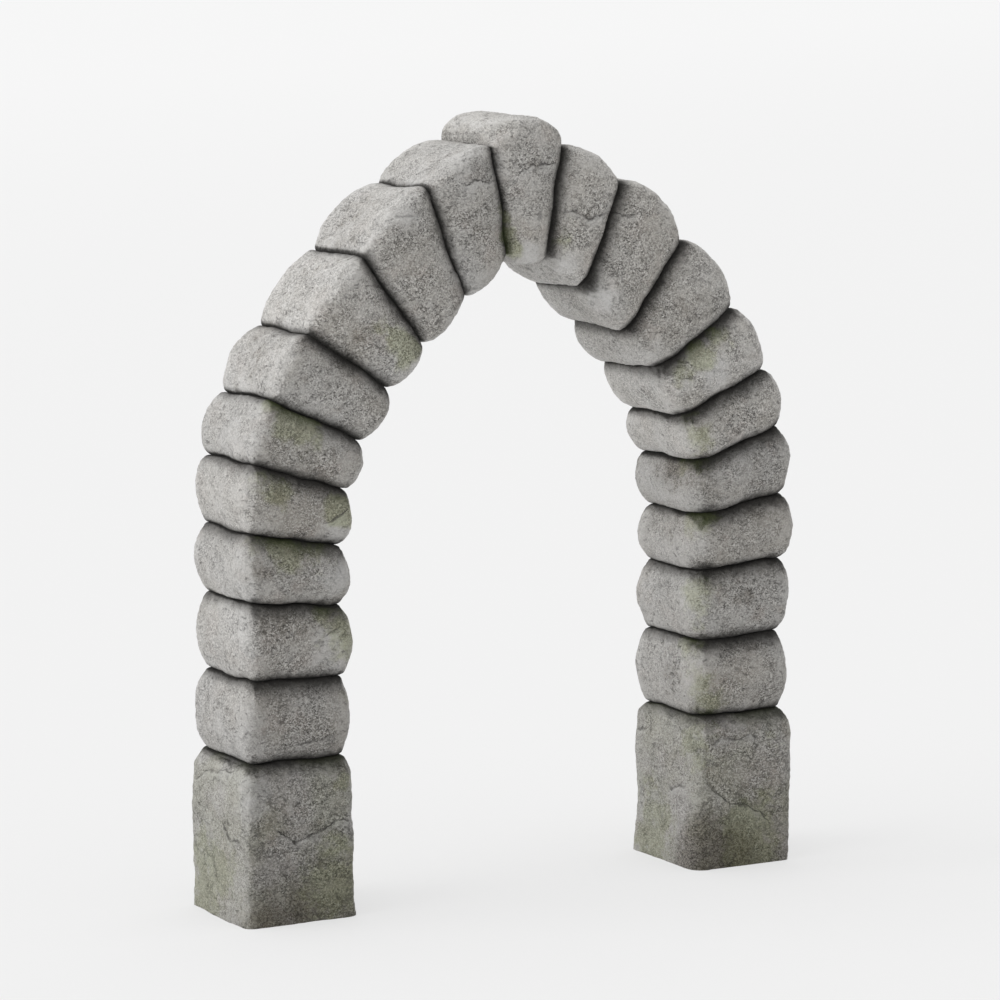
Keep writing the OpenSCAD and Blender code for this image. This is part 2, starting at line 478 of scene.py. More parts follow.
MOSS = {
    # node: patches as the shares of the node's box where each is centred, its radius in metres
    # and how thick it grows
    "left_base_block": [((0.0, 0.75, 0.36), 0.14, 0.9), ((0.0, 0.50, 0.28), 0.16, 1.0),
                        ((0.0, 0.75, 0.10), 0.15, 1.0), ((0.0, 0.28, 0.36), 0.10, 0.7),
                        ((0.80, 0.0, 0.40), 0.12, 0.8), ((0.74, 0.0, 0.20), 0.15, 1.0),
                        ((0.92, 0.0, 0.30), 0.10, 0.9), ((0.90, 0.0, 0.84), 0.08, 0.7),
                        ((0.30, 1.0, 0.25), 0.20, 0.9), ((1.0, 0.6, 0.20), 0.18, 0.8)],
    "left_pier_1": [((0.95, 0.0, 0.70), 0.06, 0.5), ((0.30, 1.0, 0.30), 0.10, 0.6)],
    "left_pier_2": [((0.72, 0.0, 0.85), 0.08, 0.7), ((0.88, 0.0, 0.55), 0.11, 0.9),
                    ((0.40, 1.0, 0.90), 0.12, 0.7)],
    "left_pier_3": [((0.15, 0.05, 0.90), 0.07, 0.6), ((0.38, 0.0, 0.85), 0.10, 1.0),
                    ((0.66, 0.0, 0.80), 0.10, 0.7)],
    "left_springer": [((0.84, 0.0, 0.43), 0.06, 1.6), ((0.95, 0.02, 0.38), 0.05, 1.3),
                      ((0.28, 0.0, 0.70), 0.08, 0.8), ((0.13, 0.03, 0.85), 0.05, 0.7)],
    "left_voussoir_1": [((0.22, 0.10, 0.95), 0.06, 1.0), ((0.30, 0.0, 0.80), 0.08, 1.1),
                        ((0.43, 0.0, 0.70), 0.08, 1.1), ((0.54, 0.0, 0.60), 0.06, 0.8),
                        ((0.60, 1.0, 0.60), 0.12, 0.8)],
    "left_voussoir_3": [((0.60, 0.0, 0.47), 0.05, 0.8), ((0.71, 0.0, 0.37), 0.06, 0.9),
                        ((0.83, 0.0, 0.28), 0.07, 1.0)],
    "left_voussoir_5": [((0.92, 0.1, 0.56), 0.035, 0.8), ((0.97, 0.1, 0.40), 0.045, 0.9)],
    "keystone": [((0.14, 0.08, 0.32), 0.035, 0.9), ((0.17, 0.08, 0.20), 0.045, 1.2),
                 ((0.22, 0.06, 0.11), 0.045, 1.3), ((0.75, 1.0, 0.30), 0.10, 0.8)],
    "right_voussoir_5": [((0.14, 0.0, 0.38), 0.07, 0.6)],
    "right_voussoir_4": [((0.50, 1.0, 0.40), 0.12, 0.8)],
    "right_voussoir_2": [((0.20, 0.0, 0.44), 0.06, 0.8), ((0.36, 0.0, 0.60), 0.08, 1.0),
                         ((0.52, 0.0, 0.75), 0.07, 0.8)],
    "right_voussoir_1": [((0.15, 0.0, 0.28), 0.07, 0.9), ((0.08, 0.1, 0.50), 0.06, 0.5)],
    "right_springer": [((0.06, 0.10, 0.80), 0.09, 1.0), ((0.05, 0.25, 0.66), 0.07, 0.8),
                       ((0.80, 1.0, 0.70), 0.12, 0.7)],
    "right_pier_3": [((0.05, 0.12, 0.85), 0.09, 1.2), ((0.04, 0.12, 0.60), 0.06, 0.6)],
    "right_pier_2": [((0.04, 0.08, 0.60), 0.09, 0.9), ((0.05, 0.05, 0.15), 0.06, 0.5),
                     ((1.0, 0.7, 0.60), 0.12, 0.7)],
    "right_pier_1": [((0.04, 0.2, 0.90), 0.07, 0.8), ((0.05, 0.08, 0.65), 0.07, 0.6),
                     ((0.09, 0.0, 0.40), 0.08, 0.8), ((0.14, 0.03, 0.15), 0.09, 0.9)],
    "right_base_block": [((0.0, 0.72, 0.45), 0.10, 0.7), ((0.0, 0.60, 0.24), 0.15, 0.9),
                         ((0.0, 0.68, 0.08), 0.15, 1.0), ((0.03, 0.12, 0.85), 0.10, 0.9),
                         ((0.04, 0.06, 0.70), 0.08, 0.8), ((0.46, 0.0, 0.27), 0.10, 1.2),
                         ((0.60, 0.0, 0.35), 0.08, 0.8), ((0.55, 0.0, 0.08), 0.13, 1.3),
                         ((0.68, 0.0, 0.20), 0.11, 0.9), ((0.72, 0.0, 0.44), 0.08, 0.7),
                         ((0.80, 0.0, 0.82), 0.08, 0.4),
                         ((0.60, 1.0, 0.30), 0.20, 0.9), ((1.0, 0.4, 0.25), 0.16, 0.8)],
}

CRACKS = {
    # node: cracks as the face that each runs across, and comes out again behind, how strong it is,
    # and the shares of the node's box along that face and up it that it passes through
    "left_base_block": [
        ("front", 1.0, [(0.22, 0.64), (0.27, 0.60), (0.35, 0.55), (0.42, 0.51), (0.60, 0.54),
                        (0.70, 0.575), (0.82, 0.62), (0.96, 0.61)]),
        ("left", 0.6, [(0.20, 0.94), (0.39, 0.93), (0.58, 0.91), (0.72, 0.88), (0.90, 0.80)]),
        ("left", 0.7, [(0.08, 0.54), (0.20, 0.52), (0.28, 0.51), (0.37, 0.58), (0.42, 0.62)]),
        ("left", 0.45, [(0.46, 0.20), (0.52, 0.28), (0.57, 0.36), (0.79, 0.39), (0.96, 0.40)])],
    "right_base_block": [
        ("front", 0.8, [(0.08, 0.62), (0.18, 0.51), (0.26, 0.47), (0.36, 0.42), (0.54, 0.39),
                        (0.66, 0.34), (0.76, 0.27), (0.80, 0.20)]),
        ("front", 0.7, [(0.14, 0.79), (0.25, 0.85), (0.36, 0.84), (0.43, 0.84), (0.54, 0.87),
                        (0.66, 0.84)]),
        ("left", 0.7, [(0.15, 0.52), (0.25, 0.53), (0.39, 0.48), (0.46, 0.52)]),
        ("left", 0.7, [(0.70, 0.86), (0.81, 0.83), (0.96, 0.80)])],
    "left_voussoir_4": [("front", 0.5, [(0.24, 0.83), (0.31, 0.84), (0.42, 0.84), (0.52, 0.85)])],
    "left_voussoir_5": [("front", 1.0, [(0.33, 0.73), (0.40, 0.745), (0.53, 0.77), (0.68, 0.76),
                                        (0.86, 0.765)])],
    "keystone": [("front", 1.0, [(0.26, 0.60), (0.31, 0.63), (0.44, 0.67), (0.51, 0.69), (0.84, 0.68),
                                 (0.92, 0.67)]),
                 ("left", 0.4, [(0.12, 0.91), (0.24, 0.90), (0.45, 0.88), (0.70, 0.87), (0.95, 0.85)])],
    "right_voussoir_5": [("front", 1.0, [(0.12, 0.54), (0.34, 0.55), (0.50, 0.49), (0.62, 0.50),
                                         (0.80, 0.50)])],
    "right_voussoir_4": [("front", 0.8, [(0.20, 0.79), (0.34, 0.78), (0.50, 0.79)])],
    "right_voussoir_2": [("front", 0.7, [(0.14, 0.37), (0.22, 0.38), (0.32, 0.36)])],
    "left_pier_1": [("front", 0.7, [(0.45, 0.20), (0.66, 0.24), (0.85, 0.30)])],
    "left_springer": [("front", 0.9, [(0.66, 0.28), (0.76, 0.30), (0.86, 0.36), (0.97, 0.46)])],
    "left_pier_2": [("front", 0.6, [(0.68, 0.48), (0.78, 0.58), (0.90, 0.66)])],
}
CRACK_COUNT = 4           # most cracks on one stone
CRACK_END = 0.04          # metres over which a crack fades at its ends
CRACK_SQUARE = 0.3        # how square to its face the surface still is where a crack ends
CRACK_INWARD = 0.2        # metres that count as inside the crack for each 1 squarer
CRACK_STRAY = 0.010       # metres that a crack strays up or down
CRACK_STRAY_SIZE = 0.045  # metres from one stray to the next
CRACK_STRAY_KIND = 0.6, 2.0, 3  # the fractal noise's increment, lacunarity and octaves
CRACK_MARGIN = 0.02       # metres past a crack's ends that still stray with it

HOLLOWS = {
    # node: worn hollows as the shares of the node's box where each is centred, its radius and depth
    "right_base_block": [((0.0, 1.0, 0.24), 0.17, 0.014), ((0.0, 1.0, 0.46), 0.14, 0.011)],
    "left_base_block": [((0.0, 1.0, 0.36), 0.14, 0.006)],
}

STAINS = {
    # node: patches as for the moss, bleached pale or, with a level below 0, stained dark
    "left_base_block": [((0.05, 0.0, 0.82), 0.09, 1.0), ((0.15, 0.0, 0.66), 0.07, -0.5),
                        ((0.35, 0.0, 0.34), 0.06, -0.5), ((0.20, 0.0, 0.04), 0.12, -0.9),
                        ((0.42, 0.0, 0.06), 0.12, -0.9)],
    "left_pier_1": [((0.25, 0.0, 0.85), 0.08, -0.4)],
    "left_pier_2": [((0.75, 0.0, 0.35), 0.09, 0.9), ((0.30, 0.0, 0.85), 0.12, -0.6)],
    "left_pier_3": [((0.84, 0.0, 0.36), 0.08, 1.0), ((0.13, 0.0, 0.57), 0.05, -0.7),
                    ((0.50, 0.0, 0.64), 0.06, -0.4)],
    "left_springer": [((0.82, 0.0, 0.13), 0.07, 1.0), ((0.28, 0.0, 0.62), 0.05, -0.6)],
    "left_voussoir_1": [((0.0, 0.4, 0.5), 0.15, 0.6)],
    "left_voussoir_2": [((0.20, 0.5, 0.75), 0.18, -0.5)],
    "left_voussoir_3": [((0.20, 0.5, 0.75), 0.18, -0.4), ((0.40, 0.0, 0.41), 0.04, -0.7),
                        ((0.16, 0.0, 0.60), 0.05, -0.4)],
    "left_voussoir_4": [((0.25, 0.5, 0.80), 0.20, -0.5), ((0.36, 0.0, 0.68), 0.08, -0.4)],
    "left_voussoir_5": [((0.60, 0.0, 0.82), 0.05, -0.5), ((0.57, 0.0, 0.42), 0.06, -0.4)],
    "keystone": [((0.48, 0.0, 0.08), 0.05, 1.0), ((0.52, 0.0, 0.69), 0.04, -0.6)],
    "right_voussoir_5": [((0.22, 0.03, 0.17), 0.05, 1.0), ((0.43, 0.0, 0.50), 0.05, -0.5)],
    "right_voussoir_4": [((0.12, 0.06, 0.22), 0.06, 1.0)],
    "right_voussoir_3": [((0.42, 0.0, 0.52), 0.07, -0.5)],
    "right_voussoir_2": [((0.50, 0.0, 0.38), 0.09, 0.8)],
    "right_springer": [((0.0, 0.35, 0.70), 0.15, -0.9), ((0.60, 0.0, 0.58), 0.05, -0.4)],
    "right_pier_3": [((0.0, 0.4, 0.70), 0.13, -0.5), ((0.60, 0.0, 0.80), 0.09, -0.5)],
    "right_pier_2": [((0.42, 0.0, 0.50), 0.035, -0.6), ((0.52, 0.0, 0.53), 0.035, -0.7)],
    "right_pier_1": [((0.0, 0.4, 0.60), 0.13, -0.5), ((0.55, 0.05, 0.90), 0.06, -0.5)],
    "right_base_block": [((0.06, 0.0, 0.18), 0.13, -1.1), ((0.14, 0.0, 0.02), 0.16, -1.3),
                         ((0.34, 0.0, 0.08), 0.13, -1.2), ((0.03, 0.4, 0.72), 0.10, -0.4)],
}

TONES = {
    # node: how light the stone is beside the others
    "left_base_block": 0.95, "left_pier_1": 0.92, "left_pier_2": 0.95, "left_pier_3": 0.90,
    "left_springer": 0.96, "left_voussoir_1": 0.92, "left_voussoir_2": 0.98,
    "left_voussoir_3": 1.06, "left_voussoir_4": 1.00, "left_voussoir_5": 0.94,
    "keystone": 1.00, "right_voussoir_5": 1.07, "right_voussoir_4": 1.03,
    "right_voussoir_3": 1.04, "right_voussoir_2": 1.13, "right_voussoir_1": 1.09,
    "right_springer": 0.90, "right_pier_3": 0.93, "right_pier_2": 0.95,
    "right_pier_1": 1.0, "right_base_block": 1.03,
}

PATCH_FULL = 1.3          # level at the middle of a patch, before it is held at 1
PATCH_FALL = 0.8          # how much of it is lost from there to the patch's radius
OVERHANG = 0.03           # metres that a belly overhangs a bed and still catches its painted shade and dirt
STEEP_UPPER = 0.8         # share by which an upright stone's places count as further from its upper bed
STEEP_LOWER = 0.3         # and from its lower bed


def set_measure(mesh, name, values):
    """Store one number for each vertex."""
    mesh.attributes.new(name, "FLOAT", "POINT").data.foreach_set("value", values.astype(np.float32))


def strongest_patch(patches, stone, places):
    """The level of the patch that tells most at each place, fading out round its radius."""
    level = np.zeros(len(places))
    for shares, radius, strong in patches.get(stone.name, []):
        centre = stone.low + np.array(shares) * (stone.high - stone.low)
        away = np.linalg.norm(places - centre, axis=1) / radius
        patch = strong * np.clip(PATCH_FULL - PATCH_FALL * away, 0, 1)
        level = np.where(np.abs(patch) > np.abs(level), patch, level)
    return level


def crack_measures(stone, places, facing, face, strong, path):
    """How far each place is above a crack, and how far it is from the crack's nearer end.

    The second is held back on a weak crack, which then never comes out fully."""
    along, into = (0, 1) if face == "front" else (1, 0)
    size = stone.high - stone.low
    at = [stone.low[along] + size[along] * share for share, _ in path]
    height = [stone.low[2] + size[2] * share for _, share in path]
    above = places[:, 2] - np.interp(places[:, along], at, height)
    inside = np.minimum(places[:, along] - at[0], at[-1] - places[:, along])
    inside = np.minimum(inside, CRACK_INWARD * (np.abs(facing[:, into]) - CRACK_SQUARE))
    for i in np.flatnonzero((inside > -CRACK_MARGIN) & (np.abs(above) < LEDGE_REACH)):
        above[i] += CRACK_STRAY * noise.fractal(Vector(places[i] / CRACK_STRAY_SIZE), *CRACK_STRAY_KIND)
    return above, np.minimum(inside, CRACK_END * strong)


def proud_of_neighbours(mesh, rounds=30, height=0.004):
    """For each vertex, 1 where it stands on an arris and -1 in a hollow."""
    places = read(mesh.vertices, "co", 3)
    faces = read(mesh.vertices, "normal", 3)
    ends = np.empty(len(mesh.edges) * 2, np.int32)
    mesh.edges.foreach_get("vertices", ends)
    a, b = ends.reshape(-1, 2).T
    count = np.bincount(ends, minlength=len(places))[:, None]
    smooth = places.copy()
    for _ in range(rounds):
        total = np.zeros_like(smooth)
        for axis in range(3):
            total[:, axis] = (np.bincount(a, smooth[b, axis], len(places))
                              + np.bincount(b, smooth[a, axis], len(places)))
        smooth = total / count
    return np.clip(((places - smooth) * faces).sum(axis=1) / height, -1, 1)


def measure(block, stone):
    """Store on every vertex what the finish reads from it."""
    mesh = block.data
    places = read(mesh.vertices, "co", 3)
    lower, upper = stone.beds
    # the keystone's head stands well clear of its neighbours and gets less of a joint's painted shade
    # and dirt, and these reach less far from an upright joint than from a level one
    overhang = 0.0 if stone.name == "keystone" else OVERHANG
    steepness = 1 - abs(stone.up[2])
    for bed_name, bed, steep in ("upper", upper, STEEP_UPPER), ("lower", lower, STEEP_LOWER):
        away = bed.distance(places, overhang) * (1 + steep * steepness)
        set_measure(mesh, f"from_{bed_name}_bed", away)
    set_measure(mesh, "proud", proud_of_neighbours(mesh))
    facing = read(mesh.vertices, "normal", 3)
    set_measure(mesh, "sideways", np.abs(facing @ stone.out))
    set_measure(mesh, "moss", strongest_patch(MOSS, stone, places))
    set_measure(mesh, "stain", strongest_patch(STAINS, stone, places))
    set_measure(mesh, "tone", np.full(len(places), TONES[stone.name]))
    for number, (face, strong, path) in enumerate(CRACKS.get(stone.name, [])):
        above, inside = crack_measures(stone, places, facing, face, strong, path)
        set_measure(mesh, f"crack_{number}_above", above)
        set_measure(mesh, f"crack_{number}_inside", inside)


# ------------------------ the finish of the stones

class Finish:
    """Builds one material's nodes, each call adding a step."""

    def __init__(self, name):
        self.material = bpy.data.materials.new(name)
        self.material.use_nodes = True
        self.tree = self.material.node_tree
        self.shader = self.tree.nodes["Principled BSDF"]
        self.place = self.add("ShaderNodeTexCoord").outputs["Object"]

    def add(self, kind, **settings):
        step = self.tree.nodes.new(kind)
        for key, value in settings.items():
            setattr(step, key, value)
        return step

    def feed(self, socket, value):
        """Link an output to a socket, or write a plain value on it."""
        if isinstance(value, bpy.types.NodeSocket):
            self.tree.links.new(value, socket)
        else:
            socket.default_value = value

    def measure(self, name):
        return self.add("ShaderNodeAttribute", attribute_name=name).outputs["Fac"]

    def noise(self, size, detail=2.0, roughness=0.5, distortion=0.0, flat=1.0):
        """Cloudy noise from 0 to 1, about size metres across and flat times less high."""
        step = self.add("ShaderNodeTexNoise")
        place = self.place
        if flat != 1.0:
            squash = self.add("ShaderNodeMapping", vector_type="POINT")
            self.feed(squash.inputs["Vector"], place)
            self.feed(squash.inputs["Scale"], (1, 1, flat))
            place = squash.outputs["Vector"]
        self.feed(step.inputs["Vector"], place)
        self.feed(step.inputs["Scale"], 1 / size)
        self.feed(step.inputs["Detail"], detail)
        self.feed(step.inputs["Roughness"], roughness)
        self.feed(step.inputs["Distortion"], distortion)
        return step.outputs["Fac"]

    def grains(self, size):
        """A random level from 0 to 1 in every grain, about size metres across."""
        step = self.add("ShaderNodeTexVoronoi")
        self.feed(step.inputs["Vector"], self.place)
        self.feed(step.inputs["Scale"], 1 / size)
        level = self.add("ShaderNodeSeparateColor")
        self.feed(level.inputs["Color"], step.outputs["Color"])
        return level.outputs["Red"]

    def between(self, value, low, high, to_low=0.0, to_high=1.0):
        """Value's way from low to high, eased and held at the ends."""
        step = self.add("ShaderNodeMapRange", interpolation_type="SMOOTHSTEP")
        for key, number in (("Value", value), ("From Min", low), ("From Max", high),
                            ("To Min", to_low), ("To Max", to_high)):
            self.feed(step.inputs[key], number)
        return step.outputs["Result"]

    def maths(self, operation, a, b=0.0):
        step = self.add("ShaderNodeMath", operation=operation)
        self.feed(step.inputs[0], a)
        self.feed(step.inputs[1], b)
        return step.outputs["Value"]

    def times(self, first, *others):
        """All that is given, multiplied."""
        for other in others:
            first = self.maths("MULTIPLY", first, other)
        return first

    def rest_of(self, share):
        """What a share leaves of 1."""
        return self.maths("SUBTRACT", 1.0, share)

    def wander(self, width, **size):
        """Noise that strays to either side of zero, width from end to end."""
        return self.times(self.maths("SUBTRACT", self.noise(**size), 0.5), width)

    def pattern(self, name, to_low=0.0, to_high=1.0):
        """One of the PATTERNS, from to_low where it is missing to to_high where it is full."""
        size, low, high = PATTERNS[name]
        return self.between(self.noise(**size), low, high, to_low, to_high)

    def lay(self, colour, name, where, how="MIX"):
        """Lay one of the COATS on a colour, where it belongs."""
        coat, cover = COATS[name]
        return self.blend(self.times(where, cover), colour, coat, how)

    def scale(self, colour, factor):
        """A colour made lighter or darker."""
        step = self.add("ShaderNodeVectorMath", operation="SCALE")
        self.feed(step.inputs[0], colour)
        self.feed(step.inputs["Scale"], factor)
        return step.outputs["Vector"]

    def blend(self, share, a, b, how="MIX"):
        """Mix two colours."""
        step = self.add("ShaderNodeMix", data_type="RGBA", blend_type=how)
        self.feed(step.inputs["Factor"], share)
        self.feed(step.inputs["A"], a)
        self.feed(step.inputs["B"], b)
        return step.outputs["Result"]


def grey(level, warmth=0.0):
    """A stone grey: warmth 1 is brown, -1 bluish."""
    return (level * (1 + 0.10 * warmth), level, level * (1 - 0.16 * warmth), 1)


WARM_STONE = grey(0.38, 0.60)
COOL_STONE = grey(0.47, 0.25)
WORN_STONE = grey(0.62, 0.05)
DARK_MOSS = (0.105, 0.125, 0.050, 1)
LIGHT_MOSS = (0.310, 0.325, 0.185, 1)
THIN_MOSS = (0.95, 0.98, 0.80, 1)  # what it leaves of the stone's colour
# the darkening at the joints: painted shade between the stones, and black dirt
JOINT_SHADE_AND_GRIME = grey(0.025, 0.6)
MOSSY_JOINT_SHADE_AND_GRIME = (0.040, 0.050, 0.014, 1)

COATS = {
    # what lies on the stone, and the painted light and shade laid on it: its colour, and the share that
    # it covers where it is thickest
    "blush": ((0.42, 0.36, 0.315, 1), 0.42),
    # painted light: the faces out of and into the arch made lighter, standing in for the light on tops
    # and soffits
    "painted_light_out_and_in": (grey(0.59, 0.15), 0.50),
    # painted light: lighter higher up, for the brighter light round the crown
    "painted_light_high_up": (grey(0.80, 0.10), 0.16),
    "blotches": (grey(0.20, 0.50), 0.40),
    "light_grains": (grey(0.80, 0.25), 0.80),
    "dark_grains": (grey(0.13, 0.50), 0.92),
    "pits": (grey(0.07, 0.50), 0.64),
    "chips": (grey(0.10, 0.50), 0.55),
    # the ledges below the cracks painted lighter: a painted highlight where they face up into the light
    "ledges": (grey(0.60, 0.05), 0.20),
    "bleached": (grey(0.64, 0.05), 0.45),
    "mud": ((0.52, 0.49, 0.45, 1), 0.9),
    "flake_edges": (grey(0.10, 0.5), 0.42),
    "cracks": (grey(0.05, 0.4), 0.82),
    # painted shade and dirt below each joint
    "shade_and_dirt_below_joint": (grey(0.08, 0.6), 0.36),
    "damp": (grey(0.02, 0.6), 0.22),
    "splashes": ((0.105, 0.087, 0.068, 1), 0.34),
}

PATTERNS = {
    # the noise that each is made from, and the levels of it between which the pattern comes in
    "broad_clouds": (dict(size=0.30, detail=3), 0.32, 0.68),
    "blush": (dict(size=0.12, detail=3, roughness=0.55), 0.52, 0.68),
    "rough_skin": (dict(size=0.11, detail=4, roughness=0.62), 0.36, 0.60),
    "worn_places": (dict(size=0.13, detail=2), 0.42, 0.58),
    "blotches": (dict(size=0.060, detail=5, roughness=0.68, distortion=0.3), 0.50, 0.64),
    "pits": (dict(size=0.015, detail=4, roughness=0.72, distortion=0.6, flat=1.9), 0.59, 0.66),
    "chips": (dict(size=0.024, detail=3, roughness=0.6, distortion=0.8, flat=1.4), 0.60, 0.66),
    "chip_clusters": (dict(size=0.13, detail=2), 0.50, 0.60),
    "base_moss": (dict(size=0.20, detail=3), 0.36, 0.62),
    "tufts": (dict(size=0.010, detail=3, roughness=0.7), 0.40, 0.62),
    "broken_skin": (dict(size=0.10, detail=2), 0.40, 0.56),
    "crack_width": (dict(size=0.04, detail=2), 0.35, 0.65),
    "crack_strength": (dict(size=0.035, detail=3), 0.36, 0.56),
    "hairline_places": (dict(size=0.16, detail=2), 0.50, 0.60),
}

SKINS = {
    # how smooth the arrises are worn, how green the moss is, and how high the grain stands
    "weathered_stone": dict(smooth=0.5, green=0.20, grain=0.75),
    "mossy_stone": dict(smooth=0.2, green=0.34, grain=0.65),
}
STONE_ROUGHNESS = 0.92
STONE_SPECULAR = 0.25

RELIEF_DEPTH = 0.016            # metres that a level of 1 stands above one of 0
RELIEF_LEVELS = {
    # how high each part of the skin stands or, below 0, how deep it lies
    "unevenness": 0.9, "flakes": 0.50, "pits": -0.45, "chips": -0.30, "cracks": -0.5, "ledges": 0.30,
}

GRAIN_MIX = (0.0045, 0.60), (0.0048, 0.40)  # size of the speckle and of the grains, and share of each
LIGHT_GRAIN = 0.50, 0.70        # levels over which a grain turns light
DARK_GRAIN = 0.50, 0.30         # and dark
ARRIS_PALE = 0.16               # how pale the arrises are worn
BASE_ARRIS_PALE = 0.06, 0.24    # the same on a base block, at its foot and higher up
BASE_ARRIS_UP = 0.12, 0.42      # metres up over which that changes
BASE_MOSS = 0.42                # how thick the thin moss on the base blocks gets

CRACK_WIDTHS = 0.003, 0.011     # metres
LEDGE_FROM = -0.045, -0.006     # metres below a crack over which the proud skin comes in
LEDGE_TO = -0.003, 0.005        # metres above it over which that ends
HAIRLINE = 0.008                # levels of its noise from a hairline's middle to its edge
HAIRLINE_STRENGTH = 0.5         # beside a crack
FLAKE_EDGE = 0.485, 0.022       # level of the noise at which the skin has broken, and either way
FLAKE_SKIN = 0.475, 0.515       # levels over which it rises from the break to the skin left

PAINTED_LIGHT_UP = 1.7, 3.0            # metres up over which the stone is painted lighter, for the brighter light round the crown
DAMP_UP = 0.1, 1.3              # metres up over which it dries
SPLASHED_UP = 0.08, 0.44        # metres up over which the mud thins out
SPLASH_RAGGED = 0.20            # metres that this comes down in places
SHADE_BELOW_JOINT = 0.0, 0.16         # metres from the upper bed over which the painted shade and washed-down dirt below it thin out
UPPER_JOINT = 0.012, 0.092      # the same for the painted shade and black dirt there
LOWER_JOINT = 0.004, 0.060      # and at the lower bed
JOINT_RAGGED = 0.045            # metres from end to end that this painted shade and dirt strays


def crack_lines(f):
    """From 0 to 1: the cracks, ragged and broken, and the skin that stands proud below them."""
    stray = f.wander(0.012, size=0.012, detail=3, roughness=0.6)
    width = f.pattern("crack_width", *CRACK_WIDTHS)
    lines = ledges = 0.0
    for number in range(CRACK_COUNT):
        above = f.maths("ADD", f.measure(f"crack_{number}_above"), stray)
        fade = f.between(f.measure(f"crack_{number}_inside"), 0.0, CRACK_END)
        line = f.between(f.maths("DIVIDE", f.maths("ABSOLUTE", above), width), 0.0, 1.0, 1.0, 0.0)
        lines = f.maths("MAXIMUM", lines, f.times(line, fade))
        ledge = f.times(f.between(above, *LEDGE_FROM), f.between(above, *LEDGE_TO, 1.0, 0.0))
        ledges = f.maths("MAXIMUM", ledges, f.times(ledge, fade))
    return f.times(lines, f.pattern("crack_strength", 0.50)), ledges


def hairlines(f):
    """Fine wandering lines that show only in a few places."""
    field = f.noise(size=0.11, detail=5, roughness=0.62, flat=1.8)
    line = f.between(f.maths("ABSOLUTE", f.maths("SUBTRACT", field, 0.5)), 0.0, HAIRLINE, 1.0, 0.0)
    return f.times(line, f.pattern("hairline_places"))


def stained_patches(f):
    """From 0 to 1: where the stone is bleached, and where it is muddy, both with ragged edges."""
    stain = f.maths("ADD", f.measure("stain"), f.wander(1.8, size=0.06, detail=5, roughness=0.68))
    return f.between(stain, 0.25, 0.95), f.between(stain, -0.20, -1.1)


def skin_of_stone(f, smooth, sideways, ledges, bleached, muddy):
    """From 0 to 1: how worn the arrises are, and how rough and pitted the skin is."""
    worn = f.times(f.between(f.measure("proud"), 0.10, 0.9), f.pattern("worn_places", 0.25))
    rough = f.pattern("rough_skin", f.between(sideways, 0.0, 1.0, 0.45, 0.66))
    for smoother, share in (worn, smooth), (ledges, 0.4), (bleached, 0.4):
        rough = f.times(rough, f.rest_of(f.times(smoother, share)))
    rough = f.times(rough, f.between(sideways, 0.0, 1.0, 1.0, 0.62))
    return worn, f.maths("MAXIMUM", rough, muddy)


def bare_stone(f, sideways, height_up):
    """Broad warm and cool clouds, with painted light: lighter on the faces out of and into the arch, and
    lighter higher up.
    """
    colour = f.blend(f.pattern("broad_clouds"), WARM_STONE, COOL_STONE)
    colour = f.lay(colour, "blush", f.pattern("blush"))
    # painted light: the tops, outer sides and soffits made lighter, for the light that falls on them
    colour = f.lay(colour, "painted_light_out_and_in", sideways)
    # painted light: lighter higher up, for the brighter light round the crown
    return f.lay(colour, "painted_light_high_up", f.between(height_up, *PAINTED_LIGHT_UP))


def flaked_skin(f, sideways):
    """From 0 to 1: the edges at which a base block's skin has broken off, and the skin that is left."""
    skin = f.noise(size=0.090, detail=5, roughness=0.62, distortion=0.4, flat=1.3)
    broken = f.times(f.pattern("broken_skin"), f.between(sideways, 0.0, 1.0, 1.0, 0.40))
    break_level, reach = FLAKE_EDGE
    edges = f.between(f.maths("ABSOLUTE", f.maths("SUBTRACT", skin, break_level)), 0.0, reach, 1.0, 0.0)
    return f.times(edges, broken), f.times(f.between(skin, *FLAKE_SKIN), broken)


def moss_thickness(f, mossy):
    """From 0 to 1: the patches of moss, ragged, and on the base blocks a thin moss nearly all over."""
    spread = f.wander(1.6, size=0.055, detail=5, roughness=0.65)
    moss = f.between(f.maths("ADD", f.measure("moss"), spread), 0.35, 0.95)
    moss = f.times(moss, f.between(f.measure("moss"), 0.0, 0.2))
    if mossy:
        moss = f.maths("MAXIMUM", moss, f.pattern("base_moss", 0.0, BASE_MOSS))
    return moss


def grow_moss(f, colour, moss, green, sideways):
    """Moss that tints the stone, with some of the green of its tufts."""
    tufts = f.blend(f.pattern("tufts"), DARK_MOSS, LIGHT_MOSS)
    grown = f.blend(green, f.blend(1.0, colour, THIN_MOSS, "MULTIPLY"), tufts)
    return f.blend(f.times(moss, f.between(sideways, 0.0, 1.0, 0.90, 0.72)), colour, grown)


